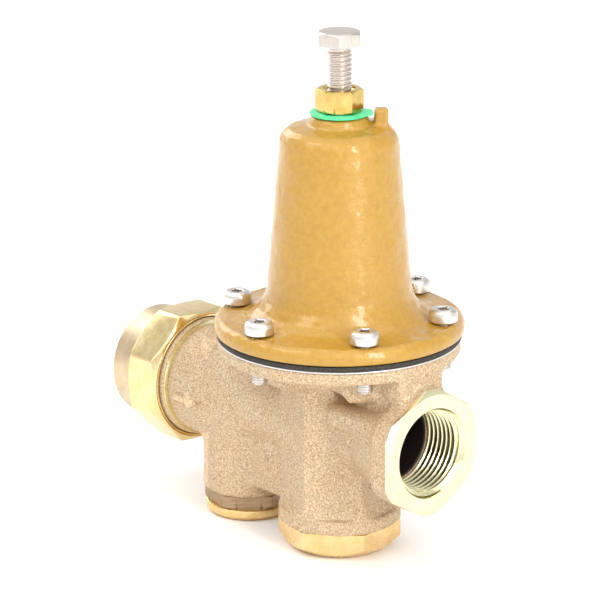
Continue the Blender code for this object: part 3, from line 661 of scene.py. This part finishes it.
def bell():
    """The painted spring cage: a tall cone on a six-screw flange, with the washer's lug at its top."""
    f = Field((-39.5, -39.5, 67.0), (39.5, 39.5, 139.5), VOXEL)
    neck = [(8.3, 135.2), (9.7, 132.4), (12.8, 131.9), (14.9, 131.6)]
    shoulder = [(16.7, 130.3), (17.75, 128.4), (18.0, 126.0)]
    cone = [(18.7, 118.3), (19.8, 106.0), (20.86, 93.5), (21.9, 82.0)]
    flange = [(22.7, 79.3), (24.6, 76.2), (27.6, 74.2), (30.0, 73.7), (35.2, 73.4), (35.9, 73.6),
              (37.2, 72.6), (37.95, 71.2), (38.0, 69.2), (37.4, 68.5)]
    hollow = [(24.6, 68.5), (24.2, 72.4), (18.6, 79.5), (14.5, 125.8), (12.9, 127.6)]
    bore = [(4.3, 128.2), (4.3, 135.2)]
    shape = f.revolved(eased([*neck, *shoulder, *cone, *flange, *hollow, *bore], 0.6))
    lug = f.box((10.4, -2.5, 128.6), (14.5, 2.5, 137.3), 0.9, LUG_ANGLE)
    shape = blended(shape, lug, 2.2)
    skin = np.clip((f.z - 69.5) * 0.7, 0, 1) * np.clip((np.sqrt(f.x ** 2 + f.y ** 2) - 8.6) * 2, 0, 1)
    shape = shape + skin * (0.16 * lumps(f, 3.1, 11) + 0.05 * lumps(f, 1.4, 12))
    for x, y in screw_places():
        shape = np.maximum(shape, -f.rod_z(x, y, SCREW_HOLE_R, 60, 90))
        shape = np.maximum(shape, -f.rod_z(x, y, 4.7, 73.9, 90))
    mesh = f.mesh("bell_casting", shape)
    finish_piece("bell_casting", mesh, PAINT, "body", ["bell_housing"], 180)


def flange_screws():
    """Pan-headed socket screws whose threaded tips come out under the flange."""
    head, tip = 74.1, 58.4
    top = head + 3.9
    crown = eased([(0, top), (3.3, top), (4.2, head + 3.2), (4.4, head + 2.3), (4.4, head + 0.2), (4.2, head),
                   (2.5, head)], 0.3, closed=False)
    socket = [(0.0, head + 1.3), (1.35, head + 1.4)]

    def shank(angle):
        thread = thread_column(angle, 2.12, 2.48, 0.8, 73.6, 58.9, 0.5)
        return [(2.48, head), *thread, (1.6, tip), (0.0, tip)]

    for number, at in enumerate(screw_places(), 1):
        twist = 0.9 * (number - 1)

        def column(angle):
            lobe = 1.75 + 0.22 * cos(6 * (angle + twist))
            rim = [(lobe, head + 1.45), (lobe, head + 3.65), (lobe + 0.25, top)]
            return socket + rim + crown[1:] + shank(angle + twist)[1:]

        points, faces = spin(column, 72, centre=at, closed=False)
        piece(f"flange_screw_{number}_detail", points, faces, STAINLESS_TURNED, "body",
              [f"flange_screw_{number}"])


def adjuster():
    """The hexagon-headed adjusting screw and its brass locknut."""
    head, tall, tip = 156.6, 4.1, 118.8

    def shank(angle):
        thread = thread_column(angle, 3.05, 3.75, ADJUSTER_PITCH, head - 1.1, 119.9, 0.8)
        return [(3.6, head), (3.3, head - 0.9), *thread, (2.9, tip), (0.0, tip), (0.0, head + tall)]

    nut("adjusting_screw_detail", 6, 12.4, 17.0, head + tall, head, 5.85, 99.0, STAINLESS, "adjusting_screw",
        ["adjusting_screw"], inner=shank, ease=0.25)

    low, high = 136.75, 143.5

    def bore(angle):
        thread = thread_column(angle, 4.75, 4.3, ADJUSTER_PITCH, high - 0.4, low + 0.4, 0.5)
        return [(4.85, low), *reversed(thread), (4.85, high)]

    nut("locknut_detail", 6, 12.7, -13.0, high, low, 6.3, 6.5, BRASS_LOCK, "locknut",
        ["locknut"], inner=bore, ease=0.25)


def seal_washer():
    """Thin green washer, a little dished, with a tab that sits against the bell's lug."""
    bore, bend = 4.45, 6.6

    def section(angle):
        off = (angle - LUG_ANGLE + pi) % (2 * pi) - pi
        reach = 8.85 + 1.25 * min(max((0.42 - abs(off)) / 0.1, 0.0), 1.0)
        return eased([(bore, 136.45), (bend, 136.42), (reach, 136.22), (reach, 135.5), (bend, 135.6),
                      (bore, 135.6)], 0.2)

    points, faces = spin(section)
    piece("seal_washer_detail", points, faces, GREEN, "seal_washer", ["seal_washer"])


def coil(name, radius, wire, bottom, top, turns, nodes=(), first=0.0, last=1.0):
    """A round-wire compression spring with closed ends ground flat, or its part between two shares.

    It rides on no body; its caller may tie it to one.
    """
    low, high = bottom + wire * 0.75, top - wire * 0.75
    shut = 2 * wire + 0.12
    per_turn, sides = 48, 16
    pitch = (high - low - 2 * shut) / (turns - 2)
    begin, end = (round(share * int(turns * per_turn)) for share in (first, last))
    points, faces = [], []
    for i in range(begin, end + 1):
        t = i / per_turn
        if t < 1:
            h = low + shut * t
        elif t < turns - 1:
            h = low + shut + pitch * (t - 1)
        else:
            h = high - shut * (turns - t)
        a = 2 * pi * t
        for k in range(sides):
            b = 2 * pi * k / sides
            z = min(max(h + wire * sin(b), bottom), top)
            r = radius + wire * cos(b)
            points.append((r * cos(a), r * sin(a), z))
    for i in range(end - begin):
        for k in range(sides):
            a, b = i * sides + k, i * sides + (k + 1) % sides
            faces.append((a, b, b + sides, a + sides))
    faces += [tuple(range(sides)), tuple(range(len(points) - sides, len(points)))]
    return piece(name, points, faces, WIRE, None, nodes)


def union():
    """The union: the body's threaded spigot, the octagonal nut, the tailpiece and the fibre gasket."""
    front, back = -62.6, -76.0
    shoulder = -73.6

    def bore(angle):
        thread = thread_column(angle, 19.75, 19.15, UNION_PITCH, front - 1.2, -70.5, 0.5)
        lip = [(19.15, front - 0.5), (19.3, front + 0.1), (19.75, front + 0.1), (19.9, front - 0.3)]
        return [(18.3, back), (18.3, shoulder), (19.3, shoulder), *reversed(thread), *lip]

    nut("union_nut_detail", 8, 41.6, 22.5, front, back, 20.1, 20.3, BRASS_NUT, "union_nut",
        ["union_nut"], inner=bore, along_x=True, slope=0.75, ease=0.4)

    def spigot(angle):
        thread = thread_column(angle, 18.45, 19.05, UNION_PITCH, -61.6, -68.6, 0.6)
        end = [(18.1, -69.0), (10.6, -69.0), (10.2, -68.6), (10.2, -60.3)]
        return [(17.9, -60.3), (18.6, -60.6), *thread, *end]

    points, faces = spin(spigot, 144, along_x=True)
    piece("inlet_spigot", points, faces, BRASS_PORT, "body")

    def tail(angle):
        thread = thread_column(angle, 13.35, 12.2, PIPE_PITCH, -75.4, -86.4, 0.5)
        outer = eased([(18.85, -71.1), (18.85, -73.35), (18.0, shoulder), (18.0, -86.4), (17.0, -87.4),
                       (13.9, -87.4)], 0.3, closed=False)
        return outer + [*reversed(thread), (10.2, shoulder), (10.0, -71.1)]

    points, faces = spin(tail, 144, along_x=True)
    piece("union_tailpiece_detail", points, faces, BRASS_TAIL, "union_tailpiece",
          ["union_tailpiece"])
    turned("union_gasket_detail", [(17.8, -69.25), (17.8, -70.85), (11.5, -70.85), (11.5, -69.25)], FIBRE,
           "body", ["union_gasket"], 0.3, along_x=True)


def plug(name, x, flats, turn, top, bottom, end_r, cone, inner, finish, node):
    """A hexagonal plug whose lower end is turned to a cone. inner gives its shank's column at an angle."""

    def column(angle):
        rest = inner(angle)
        outer = nut_column(angle, 6, flats, radians(turn), top, bottom, 99.0, end_r, cone)[1:]
        return eased([rest[-1], *outer, (0.0, bottom)], 0.35, closed=False)[1:-1] + rest

    points, faces = spin(column, 144, centre=(x, 0.0))
    piece(name, points, faces, finish, "body", [node])


def hollow_shank(radius, pitch, top, start, well, floor, bottom=0.0):
    """The column of a plug's threaded shank round its well, from the middle of the plug's end outwards."""

    def inner(angle):
        thread = thread_column(angle, radius - 0.55, radius, pitch, top - 0.5, start, 0.6)
        return [(0.0, bottom), (0.0, floor), (well - 0.6, floor), (well, floor + 0.6), (well, top),
                (radius - 0.7, top), *thread]

    return inner


def plugs():
    """The bottom plug, and the strainer plug with the round foot under its hexagon."""
    plug("bottom_plug_detail", 0.0, 33.0, COLUMN_TURN - 30.0, 8.2, 0.0, 14.3, 0.7,
         hollow_shank(12.7, 1.5, 16.5, 11.2, 9.2, 4.6), BRASS_PLUG, "bottom_plug")
    # the strainer plug's hexagon is coloured darker as painted shade
    plug("strainer_plug_detail", STRAINER_X, 24.6, -12.0, 7.7, 3.5, 13.0, 0.8,
         hollow_shank(9.95, 1.25, 12.5, 10.2, 8.6, 6.3, 3.5), BRONZE_PAINTED_SHADE, "strainer_plug")
    foot = [(0, 0), (12.4, 0), (13.6, 1.2), (13.7, 3.3), (13.2, 3.55), (0, 3.55)]
    turned("strainer_plug_foot", foot, BRASS_PLUG, "body", ease=0.2, centre=(STRAINER_X, 0.0))


def spring_button():
    """The button that the adjusting screw pushes down onto the range spring."""
    turned("spring_button_detail", [
        (0, 118.55), (3.8, 118.55), (5.0, 120.7), (12.8, 120.7), (13.4, 120.1), (13.4, 117.3), (8.9, 117.3),
        (8.4, 113.9), (0, 113.9)], STAINLESS_TURNED, "spring_button", ["spring_button"])


def poppet():
    """What lifts together: stem, diaphragm plate and washer, seat disc, its holder and the two nuts."""
    above, below = 68.45, 66.45  # faces of the diaphragm plate and washer at the diaphragm
    disc = 25.6  # sealing face of the seat disc
    bore = 2.95
    turned("diaphragm_plate_detail", [
        (7.6, above + 4.6), (8.6, above + 2.0), (17.6, above + 2.0), (18.4, above + 1.2), (18.4, above),
        (3.0, above), (3.0, above + 4.6)], BRASS_INNER, "poppet", ["diaphragm_plate"])
    turned("diaphragm_washer_detail", [(17.0, below), (17.0, below - 1.8), (3.0, below - 1.8), (3.0, below)],
           BRASS_INNER, "poppet", ["diaphragm_washer"])
    for name, flats, low, high in (("diaphragm_nut", 10.0, above + 4.85, above + 9.0),
                                   ("disc_nut", 8.0, 16.95, 20.15)):
        hole = [(bore, low), (bore, high)]
        nut(f"{name}_detail", 6, flats, 0.0, high, low, flats * 0.49, flats * 0.49, STAINLESS, "poppet",
            [name], inner=lambda angle: hole)
    turned("stem_detail", [
        (0, above + 11.0), (2.2, above + 11.0), (2.7, above + 10.4), (2.7, 64.4), (4.2, 64.4), (4.2, 62.45),
        (2.7, 61.85), (2.7, disc + 2.0), (4.6, disc + 1.6), (4.6, disc + 0.25), (2.7, disc + 0.25),
        (2.7, 16.2), (2.2, 15.6), (0, 15.6)], STAINLESS_TURNED, "poppet", ["stem"],
        steps=64)
    turned("seat_disc_detail", [(7.4, disc), (7.4, disc - 2.1), (3.0, disc - 2.1), (3.0, disc)],
           RUBBER, "poppet", ["seat_disc"])
    turned("disc_holder_detail", [
        (8.9, disc - 0.5), (8.9, disc - 4.6), (7.9, disc - 5.2), (bore, disc - 5.2), (bore, disc - 2.35),
        (7.65, disc - 2.35), (7.65, disc - 0.5)], BRASS_INNER, "poppet", ["disc_holder"])


def fixed_inner_pieces():
    """The seat ring, the friction ring and the three O-rings."""
    turned("seat_ring_detail", [
        (10.4, 37.2), (10.4, 35.3), (8.5, 35.3), (8.5, 29.2), (7.0, 29.2), (7.0, 28.3), (6.2, 28.3),
        (6.2, 37.2)], STAINLESS_TURNED, "body", ["seat_ring"])
    turned("friction_ring_detail", [(36.9, 66.6), (36.9, 66.1), (25.5, 66.1), (25.5, 66.6)], STAINLESS_TURNED,
           "body", ["friction_ring"], 0.1)
    sides = 20
    for name, r, thick, height, x in (("bottom_plug_oring", 13.85, 0.75, 9.5, 0.0),
                                      ("seat_oring", 9.45, 0.65, 34.45, 0.0),
                                      ("strainer_plug_oring", 11.1, 0.65, 8.65, STRAINER_X)):
        turns = [2 * pi * k / sides for k in range(sides)]
        section = [(r + thick * cos(t), height - thick * sin(t)) for t in turns]
        points, faces = spin(lambda angle: section, 96, centre=(x, 0.0))
        piece(f"{name}_detail", points, faces, RUBBER, "body", [name])


def springs():
    """The range spring in two halves, the lower left loose and the upper riding on the body, and the bottom
    spring left loose.
    """
    low, high, stroke = 70.7, 117.05, 8.0
    range_coil = (11.7, 2.1, low, high, 6.5)
    lower = coil("range_spring_lower", *range_coil, last=0.5)
    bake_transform(lower)
    upper = coil("range_spring_upper", *range_coil, ["range_spring"], first=0.5)
    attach(upper, "body")
    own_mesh(upper)
    bottom = coil("bottom_spring_detail", 6.6, 0.7, 4.85, 20.15, 6.5, ["bottom_spring"])
    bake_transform(bottom)


def diaphragm():
    """Clamped outer ring with its rolled fold, and the middle that lifts with the poppet."""
    roll, fold_r, thin = 2.55, 21.6, 0.75
    low, high = 66.7, 68.2
    rim, ease = 37.15, 0.3
    top = [(fold_r + roll * cos(t), high + roll * sin(t)) for t in np.linspace(pi, 0, 17)]
    inner_roll = roll - thin
    under = [(fold_r + inner_roll * cos(t), low + inner_roll * sin(t)) for t in np.linspace(0, pi, 17)]
    edge = [(37.0, high), (rim, high - ease), (rim, low + ease), (37.0, low)]
    inner = fold_r - roll
    section = [(inner, low), (inner, high), *top[1:], *edge, *under]
    points, faces = spin(lambda angle: section, 144)
    piece("diaphragm_ring", points, faces, RUBBER, "body", ["diaphragm"])
    gap = 0.05
    turned("diaphragm_middle", [(inner - gap, high), (inner - gap, low), (3.0, low), (3.0, high)], RUBBER,
           "poppet", ease=0.1)


def screen():
    """The strainer's woven wire, as a cylinder of crossing wires with two end bands."""
    columns, rows, low, high, r = 72, 30, 7.6, 29.4, 8.05
    shape = bmesh.new()

    def knot(i, j):
        angle = 2 * pi * i / columns
        z = low + (high - low) * j / rows
        return shape.verts.new(((STRAINER_X + r * cos(angle)) * M, r * sin(angle) * M, z * M))

    grid = [[knot(i, j) for i in range(columns)] for j in range(rows + 1)]
    for j in range(rows):
        for i in range(columns):
            k = (i + 1) % columns
            shape.faces.new((grid[j][i], grid[j][k], grid[j + 1][k], grid[j + 1][i]))
    sheet = bpy.data.meshes.new("screen_sheet")
    shape.to_mesh(sheet)
    shape.free()
    item = bpy.data.objects.new("screen_sheet", sheet)
    bpy.context.scene.collection.objects.link(item)
    wires = item.modifiers.new("wires", "WIREFRAME")
    wires.thickness = 0.26 * M
    wires.use_replace = True
    bpy.context.view_layer.update()
    woven = bpy.data.meshes.new_from_object(item.evaluated_get(bpy.context.evaluated_depsgraph_get()))
    bpy.data.objects.remove(item)
    finish_piece("strainer_screen_detail", woven, STAINLESS, "body",
                 ["strainer_screen"], 60)
    for name, a, b in (("screen_band_low", 6.6, 8.0), ("screen_band_high", 29.0, 30.4)):
        turned(name, [(8.3, b), (8.3, a), (7.8, a), (7.8, b)], STAINLESS_TURNED, "body",
               ease=0.1, centre=(STRAINER_X, 0.0))


# ---------------------------------------------------------------- stage, light and camera


def stage():
    """One plain floor just under the foot."""
    half = 6.0
    corners = [(-half, -half, 0), (half, -half, 0), (half, half, 0), (-half, half, 0)]
    mesh = bpy.data.meshes.new("floor")
    mesh.from_pydata(corners, [], [(0, 1, 2, 3)])
    mesh.materials.append(stage_white())
    floor = bpy.data.objects.new("floor", mesh)
    bpy.context.scene.collection.objects.link(floor)
    floor.location.z = -0.0002


def area_light(name, place, target, size, power):
    """A white softbox at a place in metres, turned to its target."""
    light = bpy.data.lights.new(name, "AREA")
    light.shape = "RECTANGLE"
    light.size, light.size_y = size
    light.energy = power
    item = bpy.data.objects.new(name, light)
    item.location = place
    item.rotation_euler = (Vector(target) - Vector(place)).to_track_quat("-Z", "Y").to_euler()
    bpy.context.scene.collection.objects.link(item)


def camera():
    """The telephoto view, level with the bell's foot and a little above."""
    azimuth, elevation = radians(46.775), radians(17.534)
    distance, aim = 1.02495, Vector((0, 0, 0.0659))
    back = Vector((sin(azimuth) * cos(elevation), -cos(azimuth) * cos(elevation), sin(elevation)))
    right = Vector((cos(azimuth), sin(azimuth), 0))
    up = back.cross(right)
    ahead = -back
    yaw, pitch = radians(-0.666), radians(0.631)
    ahead, right = ahead * cos(yaw) + right * sin(yaw), right * cos(yaw) - ahead * sin(yaw)
    ahead, up = ahead * cos(pitch) + up * sin(pitch), up * cos(pitch) - ahead * sin(pitch)
    data = bpy.data.cameras.new("camera")
    data.sensor_width = 36.0
    data.lens = 202.94
    data.clip_end = 50.0
    item = bpy.data.objects.new("camera", data)
    turn = Matrix((right, up, -ahead)).transposed().to_4x4()
    item.matrix_world = Matrix.Translation(aim + back * distance) @ turn
    bpy.context.scene.collection.objects.link(item)
    bpy.context.scene.camera = item


def white_world():
    """A world that is white at the horizon and below, and dimmer overhead."""
    horizon, overhead = (0.10, 1.0), (0.50, 0.70)  # height of the direction, brightness
    world = bpy.data.worlds.new("studio")
    world.use_nodes = True
    tree = world.node_tree
    direction = tree.nodes.new("ShaderNodeTexCoord").outputs["Generated"]
    split = tree.nodes.new("ShaderNodeSeparateXYZ")
    ramp = tree.nodes.new("ShaderNodeValToRGB")
    for element, (position, level) in zip(ramp.color_ramp.elements, (horizon, overhead)):
        element.position = position
        element.color = (level, level, level, 1.0)
    tree.links.new(direction, split.inputs[0])
    tree.links.new(split.outputs["Z"], ramp.inputs[0])
    tree.links.new(ramp.outputs[0], tree.nodes["Background"].inputs["Color"])
    return world


def lighting():
    """A white studio: one very wide top light and three softboxes."""
    scene = bpy.context.scene
    scene.view_settings.view_transform = "Standard"
    scene.world = white_world()
    sun = bpy.data.lights.new("top", "SUN")
    sun.energy = 1.5
    sun.angle = radians(100.0)
    item = bpy.data.objects.new("top", sun)
    item.rotation_euler = Vector((-0.25, 0.30, -1.0)).to_track_quat("-Z", "Y").to_euler()
    scene.collection.objects.link(item)
    middle = (0, 0, 0.08)
    area_light("key", (-0.35, -1.15, 1.55), middle, (0.9, 0.8), 6.5)
    area_light("left", (-1.5, 0.1, 0.9), middle, (0.9, 1.1), 8)
    area_light("right", (1.45, -0.24, 0.7), middle, (0.24, 1.3), 13)


body_casting()
outlet_end()
bell()
flange_screws()
adjuster()
seal_washer()
union()
plugs()
spring_button()
poppet()
fixed_inner_pieces()
springs()
diaphragm()
screen()
stage()
lighting()
camera()
